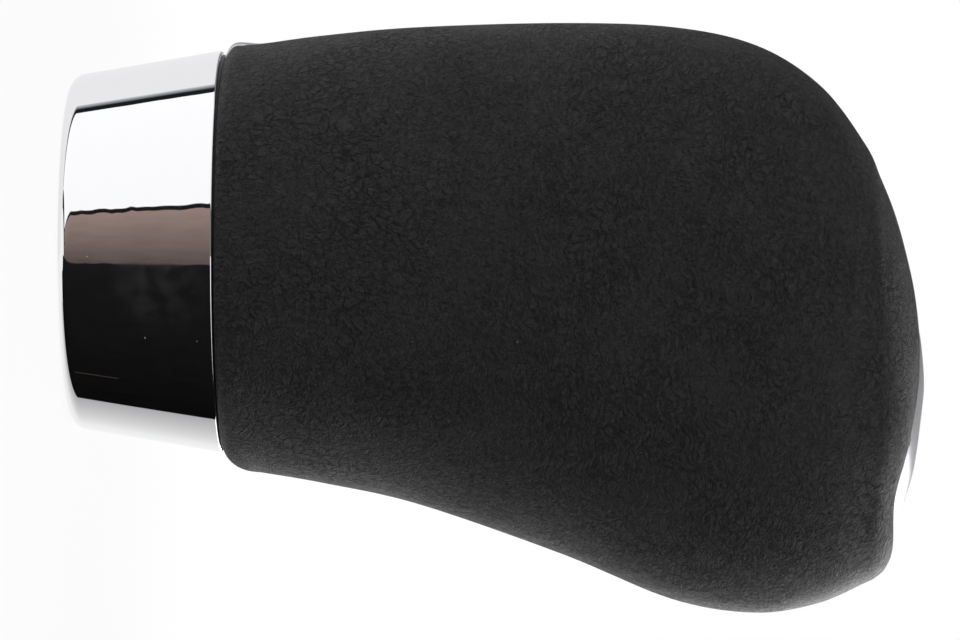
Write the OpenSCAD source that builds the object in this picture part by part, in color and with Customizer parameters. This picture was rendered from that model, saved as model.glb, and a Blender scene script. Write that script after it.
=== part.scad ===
// Leather-wrapped selector knob for a gear lever: a moulded core in two halves, a bright spine
// strip, a chrome collar and a thumb button that pushes a pin down into the lever.
// +Z runs up the lever, +X points at the toe of the knob, +Y is the side with the button.
// The origin is the middle of the collar's flat base.

/* [Grip outline] */
// Height of the grip above the button's axis
head_h = 22.95; // [21:0.05:26]
// Reach of the toe in front of the lever's axis
toe_reach = 37.85; // [36:0.05:41]
// Reach of the palm rest behind the lever's axis
back_reach = 24; // [23:0.1:25.5]
// Half of the grip's greatest width
side_reach = 22; // [21.5:0.1:24]
// Overhang of the leather over the collar at the back
lip_back = 0.95; // [0.7:0.05:1.3]
// Overhang of the leather over the collar at the toe
lip_toe = 2.1; // [1.6:0.1:2.6]
// Overhang of the leather over the collar at the sides
lip_side = 0.85; // [0.7:0.05:1.2]
// Radius of the leather's turned-in lower edge
edge_roll_r = 3.5; // [3:0.1:3.8]
// Thickness of the leather
leather_t = 1.2; // [1:0.1:1.4]

/* [Core] */
// Wall of the moulded core
core_wall = 2.4; // [2:0.1:3]
// Floor of the core above the collar
core_floor = 4; // [3:0.5:5]
// Thickness of the ribs inside the core
rib_t = 1.6; // [1.2:0.1:2]
// Spacing of the ribs inside the core
rib_pitch = 12; // [10:0.5:14]
// Distance of the upright ribs from the lever's axis
rib_x = 16; // [14:0.5:18]
// Radius of the hub that grips the lever socket
hub_r = 11.5; // [11:0.1:12.5]
// Wall of the block that guides the plunger
guide_wall = 4; // [3:0.5:5]
// Radius of the bosses round the core screws
screw_boss_r = 3.6; // [3.2:0.1:4.2]
// Height of the lower pair of core screws
low_screw_z = 36; // [33:1:39]
// Radius of the core screws
core_screw_r = 1.5; // [1.25:0.05:1.75]
// Radius of the core screws' heads
core_screw_head_r = 2.6; // [2.3:0.1:2.9]
// Height of the core screws' heads
core_screw_head_h = 1.8; // [1.4:0.1:2.2]
// Radius of the six-sided recess in those heads
core_key_r = 1.3; // [1.1:0.1:1.5]
// Depth of that recess
core_key_depth = 1; // [0.8:0.1:1.2]
// Depth of the core screws' heads below the split
core_screw_depth = 12.6; // [11:0.2:13]
// Reach of the core screws past the split
core_screw_reach = 9; // [7:0.5:11]

/* [Spine strip] */
// Half width of the strip at its lower end
strip_low_w = 5; // [4.5:0.1:6]
// Half width of the strip over the head
strip_top_w = 8; // [7:0.1:9]
// Distance from the top down to the strip's full width
strip_full_drop = 12.95; // [11:0.05:16]
// Reach of the strip's round end in front of the lever's axis
strip_tip_x = 28; // [26:0.2:29]
// Gap between the strip and the leather on each side
strip_gap = 0.15; // [0.1:0.05:0.3]
// Depth of the strip's face below the leather along the back
strip_recess = 0.4; // [0.2:0.05:0.5]
// Radius of the studs behind the strip
stud_r = 1.5; // [1.3:0.1:1.8]
// Length of the studs
stud_len = 6.4; // [6:0.1:7.5]
// Height of the lowest stud above the leather's edge
stud_foot_h = 11.5; // [9:0.5:13]
// Distance from that stud to the next
stud_pitch = 23; // [20:0.5:26]
// Depth from the strip to the seat of a push nut
stud_seat = 4; // [3.6:0.1:4.4]
// Radius of a push nut
push_nut_r = 3.4; // [3:0.1:3.8]
// Thickness of a push nut
push_nut_t = 0.8; // [0.6:0.1:1]
// Room round a push nut
nut_room = 0.4; // [0.3:0.1:0.6]

/* [Collar] */
// Height of the chrome collar
collar_h = 15.9; // [15:0.1:16.5]
// Radius of the collar's cone at the base plane
collar_base_r = 18.4; // [18:0.1:19]
// Radius of the collar at its upper edge
collar_top_r = 21.05; // [20.6:0.05:21.4]
// Wall of the collar
collar_wall = 1.4; // [1.2:0.1:1.8]
// Radius of the collar's rounded lower edge
collar_edge_r = 1.8; // [1.4:0.1:2.2]
// Radius of the opening in the collar's base
collar_open_r = 13; // [12.5:0.1:14]
// Number of ribs in the carrier behind the collar
carrier_ribs = 8; // [6:1:12]
// Wall of the carrier
carrier_wall = 1.5; // [1.2:0.1:2]
// Thickness of the hem ring between the collar and the leather
hem_t = 0.3; // [0.2:0.05:0.5]
// Step of the hem ring inside the collar's upper edge
hem_step = 0.45; // [0.3:0.05:0.8]
// Play between the hem ring and the turned-in leather
hem_play = 0.4; // [0.3:0.1:0.6]

/* [Lever socket] */
// Radius of the bore that takes the lever
socket_bore_r = 6; // [5.5:0.1:6.5]
// Length of that bore
socket_bore_len = 47; // [44:1:50]
// Thickness of the socket's closed end
socket_end_t = 5; // [4.5:0.1:5.5]
// Height of the socket's mouth
socket_base_z = 0; // [0:0.5:3]
// Outer radius of the socket inside the core
socket_r = 8.5; // [8:0.1:9]
// Outer radius of the socket inside the collar
socket_boss_r = 10; // [9.6:0.1:10.4]
// Radius of the flange that the core halves clamp
socket_flange_r = 10; // [9.6:0.1:10.3]
// Thickness of that flange
socket_flange_t = 2.5; // [2:0.1:3]
// Height of the retaining ring above the socket's mouth
clip_h = 1.2; // [1:0.1:1.5]
// Depth of the groove for the retaining ring
groove_depth = 0.9; // [0.7:0.05:1.1]
// Thickness of the retaining ring
clip_t = 1; // [0.8:0.1:1.2]
// Reach of the retaining ring outside the socket
clip_reach = 1.3; // [1.1:0.1:1.6]
// Width of the gap in the retaining ring
clip_slot = 3.2; // [2.6:0.1:4]
// Radius of the ring's two ends
clip_end_r = 1.1; // [0.9:0.1:1.3]
// Radius of the lock screws
lock_screw_r = 2; // [1.5:0.1:2.5]
// Height of the lock screws
lock_screw_z = 11; // [10:0.5:12]
// Depth of the six-sided recess in the lock screws
lock_key_depth = 1.8; // [1.4:0.1:2.2]

/* [Button] */
// Height of the button's axis above the plunger's shoulder
shoulder_drop = 5.75; // [5.5:0.05:6]
// Length of the button
button_len = 18; // [16:0.5:19]
// Height of the button's face
button_h = 10; // [9:0.5:11]
// How far the button stands out of the grip
button_proud = 3.5; // [3:0.1:4]
// How far the bezel stands out of the grip
bezel_proud = 0.6; // [0.4:0.1:0.8]
// Radius to which the button and its bezel are domed
dome_r = 42; // [36:1:60]
// Travel of the button
button_travel = 4; // [3:0.1:4]
// Gap round the button
button_gap = 0.25; // [0.2:0.05:0.4]
// Width of the bezel round the button
bezel_w = 2.2; // [1.8:0.1:2.6]
// Width of the button's hidden flange
flange_w = 1.2; // [1:0.1:1.5]
// Thickness of the button's hidden flange
flange_t = 1.5; // [1.2:0.1:2]
// Thickness of the rubber bumper behind the flange
bumper_t = 0.8; // [0.6:0.1:1]
// Width of the slider
slider_w = 9; // [8:0.2:9.4]
// Height of the slider
slider_h = 8; // [7.6:0.2:8.4]
// Width of the slider's tongue inside the button
tongue_w = 7; // [6:0.2:7.6]
// Height of that tongue
tongue_h = 4.6; // [4:0.1:5]
// Length of that tongue
tongue_len = 3.6; // [3.2:0.1:4]
// Radius of the cross pin in the button
button_pin_r = 1; // [0.8:0.1:1.2]
// Radius of the plunger's head
plunger_r = 5; // [4.8:0.1:5.3]
// Radius of the plunger's shaft
plunger_shaft_r = 3; // [2.6:0.1:3.2]
// Wall of the bush round that shaft
bush_wall = 1.5; // [1.3:0.1:1.8]
// Radius of the steel push pin
push_pin_r = 2; // [1.6:0.1:2.2]
// Length of the push pin inside the plunger
push_pin_seat = 7; // [6:0.5:9]
// Length of the push pin below the plunger
push_pin_tip = 0.7; // [0.4:0.1:0.9]
// Running gap round the moving parts
run_gap = 0.15; // [0.1:0.01:0.2]
// Play between the slider's wedge and the plunger
wedge_play = 0.1; // [0.05:0.01:0.2]
// Room for the slider's wedge at the end of its travel
wedge_room = 0.6; // [0.4:0.1:1]

/* [Return spring] */
// Length of the spring at rest
spring_len = 7.6; // [7.4:0.1:8]
// Radius of the coil's centre line
spring_r = 4.05; // [3.9:0.05:4.15]
// Radius of the spring's wire
wire_r = 0.35; // [0.3:0.05:0.4]
// Number of coils
spring_turns = 4.5; // [4:0.5:5]
// Thickness of the washer below the spring
washer_t = 0.6; // [0.5:0.1:0.8]

/* [Hidden] */

$fn = 72;
skin_gap = 0.02;
fit_gap = 0.05;
// How far a cut runs past the face it opens, or a rib into the wall it joins
bite = 1;
far = 60;

// Heights, from the collar's base up: each piece stands on the one below.
roll_end = 80;
grip_base_z = collar_h + hem_t;
roll_start_z = grip_base_z + edge_roll_r;
core_base_z = roll_start_z - (edge_roll_r - leather_t) * sin(roll_end);
cavity_z = core_base_z + core_floor;
clip_z = socket_base_z + clip_h;
socket_top_z = socket_base_z + socket_bore_len + socket_end_t;
washer_top_z = socket_top_z + washer_t;
head_z = washer_top_z + spring_len + fit_gap;
button_z = head_z + shoulder_drop;
grip_top_z = button_z + head_h;
grip_h = grip_top_z - grip_base_z;
strip_full_z = grip_top_z - strip_full_drop;
plunger_tip_z = socket_base_z + socket_bore_len + bite;
plunger_cut_z = button_z + slider_h / 2 - 0.5;
guide_top_z = button_z + slider_h / 2 + guide_wall;

// The grip is a stack of egg-shaped rings above its lower edge. Each row gives the ring's height
// as a share of the grip's, its back, toe and side as shares of their reaches, how square it is
// at the back and at the toe (1 is an ellipse, less is squarer) and how much the back is wider.
RINGS = [
    [0.14, -0.953, 0.642, 0.985, 0.9, 1, 0.01],
    [0.276, -0.983, 0.7, 0.984, 0.8, 1, 0.02],
    [0.483, -1, 0.838, 0.991, 0.75, 0.95, 0.05],
    [0.642, -0.978, 0.963, 1, 0.7, 0.9, 0.08],
    [0.76, -0.898, 1, 0.995, 0.7, 0.85, 0.1],
    [0.849, -0.728, 0.975, 0.941, 0.7, 0.85, 0.1],
    [0.912, -0.49, 0.925, 0.836, 0.75, 0.85, 0.1],
    [0.95, -0.25, 0.878, 0.714, 0.8, 0.9, 0.08],
    [0.9636, -0.145, 0.81, 0.645, 0.85, 0.9, 0.05],
    [0.979, 0.01, 0.58, 0.55, 0.93, 0.95, 0]
];
// The rings close at a pole under the strip.
POLE_X = 0.354;

function station(s) = [
    grip_base_z + s[0] * grip_h, s[1] * back_reach, s[2] * toe_reach, s[3] * side_reach, s[4], s[5], s[6]
];
LOW_RING = [
    roll_start_z, -(collar_top_r + lip_back), collar_top_r + lip_toe, collar_top_r + lip_side, 0.95, 1, 0
];
LAST = len(RINGS);
TOP_RING = station(RINGS[LAST - 1]);
POLE = [grip_top_z, POLE_X * toe_reach, POLE_X * toe_reach, 0, 1, 1, 0];
// Past the pole the rings open again, which keeps the top smooth.
BEYOND = [TOP_RING[0], TOP_RING[2], TOP_RING[1], -TOP_RING[3], 1, 1, 0];
STATIONS = concat([LOW_RING], [for (s = RINGS) station(s)], [POLE, BEYOND]);
POLE_U = len(STATIONS) - 2;

function through(p0, p1, p2, p3, t) = 0.5 * (2 * p1 + (p2 - p0) * t
    + (2 * p0 - 5 * p1 + 4 * p2 - p3) * t * t + (3 * p1 - p0 - 3 * p2 + p3) * t * t * t);
function ring_at(u) = let (k = min(floor(u), POLE_U - 1), p1 = STATIONS[k], p2 = STATIONS[k + 1])
    through(k == 0 ? 2 * p1 - p2 : STATIONS[k - 1], p1, p2, STATIONS[k + 2], u - k);
function power(v, p) = sign(v) * pow(abs(v), p);
// Station at height z, found by halving
function station_at(z, lo = 0, hi = LAST, n = 16) = n == 0 ? (lo + hi) / 2
    : let (mid = (lo + hi) / 2)
        ring_at(mid)[0] < z ? station_at(z, mid, hi, n - 1) : station_at(z, lo, mid, n - 1);

// Point of the wall at height station u and angle a round the ring, 0 at the back, 180 at the toe
function wall_point(u, a) = let (
    s = ring_at(u),
    back_share = (1 + cos(a)) / 2,
    p = s[4] * back_share + s[5] * (1 - back_share),
    c = power(cos(a), p)
) [
    (s[1] + s[2]) / 2 - (s[2] - s[1]) / 2 * c,
    s[3] * power(sin(a), p) * (1 + s[6] * c),
    s[0]
];
function unit(v) = v / norm(v);
function flat_normal(a) = let (t = wall_point(0, a + 1) - wall_point(0, a - 1)) unit([-t[1], t[0], 0]);
// Below u = 0 the surface turns in round the lower edge.
function face_point(u, a) = u >= 0 ? wall_point(u, a)
    : wall_point(0, a) - flat_normal(a) * edge_roll_r * (1 - cos(-u * roll_end))
        - [0, 0, edge_roll_r * sin(-u * roll_end)];
function normal(u, a) = let (
    du = 0.02,
    along = face_point(min(u + du, POLE_U - du), a) - face_point(u - du, a),
    round = face_point(u, a + 1) - face_point(u, a - 1)
) unit(cross(along, round));

// Point at distance d outside the surface
function skin(u, a, d) = face_point(u, a) + normal(u, a) * d;
function pole(d) = [POLE[1], 0, grip_top_z + d];

// Stacks of rings: heights shared by the leather and the core, so that they meet face to face
ring_step = 1 / 3;
HEIGHTS = concat([-1, -0.66, -0.33], [for (u = [0 : ring_step : POLE_U - 0.2]) u]);
turn_steps = 32;
function full_ring(u, d) = [for (i = [0 : turn_steps - 1]) skin(u, i * 360 / turn_steps, d)];
function half_ring(u, d, steps) = [
    for (i = [0 : steps])
        let (p = skin(u, i * 180 / steps, d))
        [p[0], i == 0 || i == steps ? 0 : p[1], p[2]]
];
function joined(lists) = [for (l = lists) for (p = l) p];
function band(i, j, n, base) = let (
    a = base + i * n + j, b = base + i * n + (j + 1) % n, c = b + n, d = a + n
) [[a, b, c], [a, c, d]];
function band_faces(rings, n, base) = [for (i = [0 : rings - 2], j = [0 : n - 1], f = band(i, j, n, base)) f];
function cap_faces(rings, n, base, tip) = [
    for (j = [0 : n - 1]) [base + (rings - 1) * n + j, base + (rings - 1) * n + (j + 1) % n, tip]
];
function flipped(faces) = [for (f = faces) [f[2], f[1], f[0]]];

// Closed stack: rings of n points, a flat lower end and a tip
module stack(rings, n, tip) {
    m = len(rings);
    polyhedron(
        points = concat(joined(rings), [tip]),
        faces = concat(
            [for (j = [1 : n - 2]) [0, j + 1, j]], band_faces(m, n, 0), cap_faces(m, n, 0, m * n)
        )
    );
}

// Skin of the grip between an outer and an inner stack of rings, open at its lower end
module grip_shell(outer_rings, inner_rings, outer_tip, inner_tip) {
    n = turn_steps;
    m = len(outer_rings);
    total = m * n;
    polyhedron(
        points = concat(joined(outer_rings), joined(inner_rings), [outer_tip, inner_tip]),
        faces = concat(
            band_faces(m, n, 0), cap_faces(m, n, 0, 2 * total),
            flipped(band_faces(m, n, total)), flipped(cap_faces(m, n, total, 2 * total + 1)),
            [
                for (j = [0 : n - 1])
                    let (k = (j + 1) % n)
                    for (f = [[k, j, total + j], [k, total + j, total + k]]) f
            ]
        )
    );
}

// Sideways outline of the spine strip, as a cutter that is open to the back and the top
strip_turn_x = -back_reach / 2;
module strip_outline(inset) {
    low = strip_low_w - inset;
    top = strip_top_w - inset;
    translate([-far, 0, 0]) rotate([90, 0, 90]) linear_extrude(far + strip_turn_x)
        polygon([
            [-low, 0], [low, 0], [low, grip_base_z], [top, strip_full_z], [top, 2 * far],
            [-top, 2 * far], [-top, strip_full_z], [-low, grip_base_z]
        ]);
    translate([0, 0, strip_full_z + bite]) linear_extrude(far) union() {
        translate([strip_turn_x, -top]) square([strip_tip_x - strip_top_w - strip_turn_x, 2 * top]);
        translate([strip_tip_x - strip_top_w, 0]) circle(top);
    }
}
// Crown of the strip over the leather, by height above the lower edge and by distance from the
// tip: a lip at the foot, let in along the back, and a dome that falls to the tip
function foot_lift(h) = lookup(h, [[0, 0], [0.4, 0.25], [1.1, 0.6], [2, 0.1], [3, -0.2], [8, -strip_recess]]);
function tip_lift(l) = lookup(
    l, [[0, -0.2], [3.5, 0.8], [7, 1.05], [12.5, 0.5], [16.5, 0.15], [23, -strip_recess]]
);
function half_width(x) = let (r = strip_top_w, past = x - strip_tip_x + r)
    past > 0 ? sqrt(max(0.01, r * r - past * past)) : r;
function lifted(u, a) = let (
    p = face_point(u, a),
    lift = p[2] < strip_full_z ? foot_lift(p[2] - grip_base_z) : tip_lift(strip_tip_x - p[0]),
    share = min(1, abs(p[1]) / half_width(p[0]))
) skin(u, a, lift > 0 ? lift * (1 - share * share) : lift);

// Places its children on the core's face behind the strip, with +Z pointing into the core
STUDS = [
    [station_at(grip_base_z + stud_foot_h), 0], [station_at(grip_base_z + stud_foot_h + stud_pitch), 0],
    [LAST - 2, 0], [LAST + 0.15, 180]
];
module at_studs() {
    for (s = STUDS) {
        n = normal(s[0], s[1]);
        translate(skin(s[0], s[1], -leather_t)) rotate([0, atan2(-n[0], -n[2]), 0]) children();
    }
}

// Outline of the button: a bar with round ends, in the plane across the button's axis
module bar(len, high, grow) {
    r = high / 2 + grow;
    translate([-(len - high) / 2, -r]) square([len - high, 2 * r]);
    for (x = [-(len - high) / 2, (len - high) / 2]) translate([x, 0]) circle(r);
}
// Extrudes a flat outline along the button's axis between two distances from the middle
module along_button(from, to) {
    translate([0, to, button_z]) rotate([90, 0, 0]) linear_extrude(to - from) children();
}

// Depths along the button's axis, from the grip's face inwards
face_angle = 78;
button_face_y = face_point(station_at(button_z), face_angle)[1];
bezel_grow = button_gap + bezel_w;
bezel_back_y = button_face_y - leather_t - core_wall;
flange_back_y = bezel_back_y - flange_t - 2 * fit_gap;
pocket_y = flange_back_y - button_travel - bumper_t - fit_gap;
// The wedge is the 45 degree plane where y + z has this sum.
wedge_sum = button_z + 2;

// Core screws: height, whether on the toe side, and distance in from the grip's outline
SCREWS = [
    [low_screw_z, false, 9.6], [low_screw_z, true, 10.5],
    [button_z + 1, false, 7.9], [button_z + 6, true, 17.8]
];
module at_screws(side) {
    for (s = SCREWS) {
        ring = ring_at(station_at(s[0]));
        translate([s[1] ? ring[2] - s[2] : ring[1] + s[2], 0, s[0]]) rotate([-90 * side, 0, 0]) children();
    }
}

// Room inside a core half
module cavity() {
    steps = 12;
    wall = leather_t + core_wall;
    levels = concat([station_at(cavity_z) + 0.15], [for (k = [1 : LAST]) k]);
    difference() {
        stack([for (u = levels) half_ring(u, -wall, steps)], steps + 1, pole(-wall));
        translate([-far, -bite, -far]) cube([2 * far, far, far + cavity_z]);
        core_frame();
    }
}

// What stands inside the core: hub, guide block, ribs and bosses
module core_frame() {
    cylinder(r = hub_r, h = socket_top_z + 2 * bite);
    block_w = plunger_r + guide_wall;
    translate([-block_w, -bite, socket_top_z - bite])
        cube([2 * block_w, far, guide_top_z - socket_top_z + bite]);
    along_button(pocket_y - core_wall, far) bar(button_len, button_h, bezel_grow + core_wall);
    for (k = [1 : 3]) translate([-far, -bite, cavity_z + k * rib_pitch - rib_t]) cube([2 * far, far, rib_t]);
    for (x = [-rib_x, rib_x, rib_x + rib_pitch])
        translate([x - rib_t / 2, -bite, 0]) cube([rib_t, far, 2 * far]);
    at_screws(1) cylinder(r = screw_boss_r, h = far);
    at_studs() cylinder(r = push_nut_r + nut_room, h = stud_seat + bite);
}

// What is bored out of the core
module core_bores() {
    translate([0, 0, -bite]) cylinder(r = socket_boss_r + fit_gap, h = core_base_z + bite + fit_gap);
    cylinder(r = socket_r + fit_gap, h = socket_top_z + fit_gap);
    translate([0, 0, socket_top_z - socket_flange_t - fit_gap])
        cylinder(r = socket_flange_r + fit_gap, h = socket_flange_t + 2 * fit_gap);
    cylinder(r = plunger_r + run_gap, h = guide_top_z - bite);
    passage_y = wedge_sum - button_z - slider_h / 2 - button_travel - wedge_room;
    translate([-slider_w / 2 - run_gap, passage_y, button_z - slider_h / 2 - run_gap])
        cube([slider_w + 2 * run_gap, far, slider_h + 2 * run_gap]);
    along_button(pocket_y, far) bar(button_len, button_h, button_gap + flange_w + run_gap);
    along_button(bezel_back_y, far) bar(button_len, button_h, bezel_grow + fit_gap);
    at_studs() {
        translate([0, 0, -bite]) cylinder(r = stud_r + fit_gap, h = stud_len + 2 * bite);
        translate([0, 0, stud_seat]) cylinder(r = push_nut_r + 2 * nut_room, h = push_nut_t + 2 * bite);
    }
}

module core_half() {
    rings = [for (u = HEIGHTS) half_ring(u, -leather_t - skin_gap, turn_steps / 2)];
    difference() {
        stack(rings, turn_steps / 2 + 1, pole(-leather_t - skin_gap));
        cavity();
        children();
    }
}

module leather_cover() {
    color("#262325") difference() {
        grip_shell(
            [for (u = HEIGHTS) full_ring(u, 0)], [for (u = HEIGHTS) full_ring(u, -leather_t)],
            pole(0), pole(-leather_t)
        );
        strip_outline(0);
        along_button(0, far) bar(button_len, button_h, bezel_grow + fit_gap);
    }
}

module core_left() {
    color("#3b3b3e") core_half() {
        core_bores();
        at_screws(1) cylinder(r = core_screw_r, h = core_screw_reach + 0.5);
    }
}

module core_right() {
    color("#3b3b3e") mirror([0, 1, 0]) core_half() {
        mirror([0, 1, 0]) core_bores();
        at_screws(1) cylinder(r = core_screw_r + fit_gap, h = far);
        at_screws(1) translate([0, 0, core_screw_depth]) cylinder(r = core_screw_head_r + fit_gap, h = far);
    }
}

module core_screws() {
    color("#8d8f92") {
        at_screws(1) cylinder(r = core_screw_r, h = core_screw_reach);
        at_screws(-1) cylinder(r = core_screw_r, h = core_screw_depth);
        at_screws(-1) translate([0, 0, core_screw_depth]) difference() {
            cylinder(r = core_screw_head_r, h = core_screw_head_h);
            translate([0, 0, core_screw_head_h - core_key_depth])
                cylinder(r = core_key_r, h = core_key_depth + bite, $fn = 6);
        }
    }
}

module spine_strip() {
    color("#b9bcc2") {
        intersection() {
            grip_shell(
                [for (u = HEIGHTS) [for (i = [0 : turn_steps - 1]) lifted(u, i * 360 / turn_steps)]],
                [for (u = HEIGHTS) full_ring(u, -leather_t)],
                pole(tip_lift(strip_tip_x - POLE[1])), pole(-leather_t)
            );
            strip_outline(strip_gap);
        }
        at_studs() translate([0, 0, -leather_t / 2]) cylinder(r = stud_r, h = stud_len + leather_t / 2);
    }
}

module strip_push_nuts() {
    color("#77797c") at_studs() translate([0, 0, stud_seat]) difference() {
        cylinder(r = push_nut_r, h = push_nut_t);
        translate([0, 0, -bite]) cylinder(r = stud_r, h = push_nut_t + 2 * bite);
    }
}

// Radius of the collar's outer cone at a height
function cone_r(z) = collar_base_r + (collar_top_r - collar_base_r) * z / collar_h;
module chrome_collar() {
    lean = atan2(collar_top_r - collar_base_r, collar_h);
    corner_r = collar_base_r - collar_edge_r * (1 / cos(lean) - tan(lean));
    color("#d9dadd") rotate_extrude($fn = 96) polygon(concat(
        [[collar_open_r, 0]],
        [
            for (a = [-90 : 12 : -6])
                [corner_r + collar_edge_r * cos(a), collar_edge_r + collar_edge_r * sin(a)]
        ],
        [[cone_r(collar_edge_r * (1 - sin(lean))), collar_edge_r * (1 - sin(lean))]],
        [
            [collar_top_r, collar_h], [collar_top_r - collar_wall, collar_h],
            [cone_r(collar_edge_r) - collar_wall, collar_edge_r],
            [cone_r(collar_wall) - collar_edge_r, collar_wall],
            [collar_open_r, collar_wall]
        ]
    ));
}

module collar_carrier() {
    inner = socket_boss_r + fit_gap;
    low = collar_wall + fit_gap;
    high = collar_h - fit_gap;
    function side(z) = cone_r(z) - collar_wall - fit_gap;
    hub = inner + carrier_wall;
    shelf = high - carrier_wall;
    foot_z = clip_z + clip_t + fit_gap;
    // Ribs stop short of the cone's face and start inside the hub's wall.
    weld = carrier_wall / 5;
    color("#2c2c2e") difference() {
        union() {
            rotate_extrude() polygon([
                [side(collar_edge_r) - carrier_wall, collar_edge_r],
                [side(collar_edge_r), collar_edge_r], [side(high), high],
                [inner, high], [inner, foot_z], [hub, foot_z],
                [hub, shelf], [side(shelf) - carrier_wall, shelf]
            ]);
            intersection() {
                for (i = [0 : carrier_ribs - 1])
                    rotate([0, 0, (i + 0.5) * 360 / carrier_ribs])
                        translate([hub - weld, -rib_t / 2, foot_z + bite])
                            cube([far, rib_t, shelf - foot_z - bite / 2]);
                rotate_extrude() polygon([
                    [0, low], [side(collar_edge_r) - weld, low], [side(high) - weld, high], [0, high]
                ]);
            }
        }
        at_lock_screws() translate([0, 0, socket_bore_r]) cylinder(r = lock_screw_r + 2 * run_gap, h = far);
    }
}

module hem_ring() {
    inner = socket_boss_r + fit_gap;
    rim_r = collar_top_r - hem_step;
    step_r = collar_top_r - edge_roll_r + hem_play;
    color("#161617") rotate_extrude() polygon([
        [inner, collar_h], [rim_r, collar_h], [rim_r, grip_base_z],
        [step_r, grip_base_z], [step_r, core_base_z - fit_gap], [inner, core_base_z - fit_gap]
    ]);
}

module at_lock_screws() {
    for (side = [-1, 1]) translate([0, 0, lock_screw_z]) rotate([0, 90 * side, 0]) children();
}

module lever_socket() {
    color("#9a9da1") difference() {
        translate([0, 0, socket_base_z]) union() {
            cylinder(r = socket_boss_r, h = core_base_z - socket_base_z);
            cylinder(r = socket_r, h = socket_top_z - socket_base_z);
            translate([0, 0, socket_bore_len + socket_end_t - socket_flange_t])
                cylinder(r = socket_flange_r, h = socket_flange_t);
        }
        translate([0, 0, socket_base_z - bite]) cylinder(r = socket_bore_r, h = socket_bore_len + bite);
        cylinder(r = plunger_shaft_r + bush_wall, h = far);
        translate([0, 0, clip_z - fit_gap]) difference() {
            cylinder(r = far, h = clip_t + 2 * fit_gap);
            translate([0, 0, -bite])
                cylinder(r = socket_boss_r - groove_depth, h = clip_t + 2 * fit_gap + 2 * bite);
        }
        at_lock_screws() translate([0, 0, socket_bore_r - bite]) cylinder(r = lock_screw_r, h = far);
    }
}

module retaining_ring() {
    inner = socket_boss_r - groove_depth + fit_gap;
    outer = socket_boss_r + clip_reach;
    end_angle = 14;
    color("#6f7276") translate([0, 0, clip_z]) linear_extrude(clip_t) difference() {
        union() {
            circle(outer);
            for (a = [-end_angle, end_angle]) rotate(a - 90) translate([outer, 0]) circle(clip_end_r);
        }
        circle(inner);
        translate([-clip_slot / 2, -outer - 2 * clip_end_r]) square([clip_slot, outer]);
    }
}

module lock_screws() {
    tip = socket_bore_r + run_gap;
    key_share = 0.55;
    color("#2a2b2d") at_lock_screws() translate([0, 0, tip]) difference() {
        cylinder(r = lock_screw_r, h = socket_boss_r - tip);
        translate([0, 0, socket_boss_r - tip - lock_key_depth])
            cylinder(r = lock_screw_r * key_share, h = lock_key_depth + bite, $fn = 6);
    }
}

// Ball whose skin stands out of the grip by the given rise
module button_dome(rise) {
    translate([0, button_face_y + rise - dome_r, button_z]) sphere(dome_r, $fn = 240);
}

module button_bezel() {
    color("#1b1b1c") intersection() {
        along_button(bezel_back_y, far) difference() {
            bar(button_len, button_h, bezel_grow);
            bar(button_len, button_h, button_gap);
        }
        button_dome(bezel_proud);
    }
}

module at_button_pin() {
    translate([0, flange_back_y + tongue_len / 2 + run_gap, button_z]) rotate([0, 90, 0]) children();
}
module button_cap() {
    color("#202022") difference() {
        union() {
            intersection() {
                along_button(flange_back_y, far) bar(button_len, button_h, 0);
                button_dome(button_proud);
            }
            along_button(flange_back_y, flange_back_y + flange_t)
                bar(button_len, button_h, button_gap + flange_w);
        }
        translate([-tongue_w / 2 - fit_gap, flange_back_y - bite, button_z - tongue_h / 2 - fit_gap])
            cube([tongue_w + 2 * fit_gap, tongue_len + bite + fit_gap, tongue_h + 2 * fit_gap]);
        at_button_pin() cylinder(r = button_pin_r, h = button_len, center = true);
    }
}

module button_slider() {
    color("#d8d4c8") difference() {
        union() {
            translate([-slider_w / 2, -far / 2, button_z - slider_h / 2])
                cube([slider_w, far / 2 + flange_back_y, slider_h]);
            translate([-tongue_w / 2, flange_back_y - bite, button_z - tongue_h / 2])
                cube([tongue_w, tongue_len + bite, tongue_h]);
        }
        below_wedge(wedge_sum);
        at_button_pin() cylinder(r = button_pin_r, h = button_len, center = true);
    }
}
// Everything on the plunger's side of the 45 degree plane where y + z is the given sum
module below_wedge(sum) {
    translate([0, sum, 0]) rotate([-45, 0, 0]) translate([-far, -2 * far, -2 * far])
        cube([2 * far, 4 * far, 2 * far]);
}

module button_pin() {
    color("#a9abad") at_button_pin() cylinder(r = button_pin_r, h = button_len - button_h, center = true);
}

module button_bumper() {
    color("#141414") along_button(pocket_y, pocket_y + bumper_t) difference() {
        bar(button_len, button_h, button_gap + flange_w - run_gap);
        translate([-slider_w / 2 - wedge_room, -slider_h / 2 - wedge_room])
            square([slider_w + 2 * wedge_room, slider_h + 2 * wedge_room]);
    }
}

module plunger() {
    color("#c9c5b8") difference() {
        union() {
            intersection() {
                translate([0, 0, head_z]) cylinder(r = plunger_r, h = plunger_cut_z - head_z);
                below_wedge(wedge_sum - wedge_play);
            }
            translate([0, 0, plunger_tip_z])
                cylinder(r = plunger_shaft_r, h = head_z - plunger_tip_z + bite);
        }
        translate([0, 0, plunger_tip_z - bite]) cylinder(r = push_pin_r, h = push_pin_seat + bite);
    }
}

module push_pin() {
    color("#b0b2b5") translate([0, 0, plunger_tip_z - push_pin_tip])
        cylinder(r = push_pin_r, h = push_pin_seat + push_pin_tip);
}

module plunger_bush() {
    color("#e3dfd2") translate([0, 0, socket_base_z + socket_bore_len]) difference() {
        cylinder(r = plunger_shaft_r + bush_wall, h = socket_end_t);
        translate([0, 0, -bite]) cylinder(r = plunger_shaft_r + fit_gap, h = socket_end_t + 2 * bite);
    }
}

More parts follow.
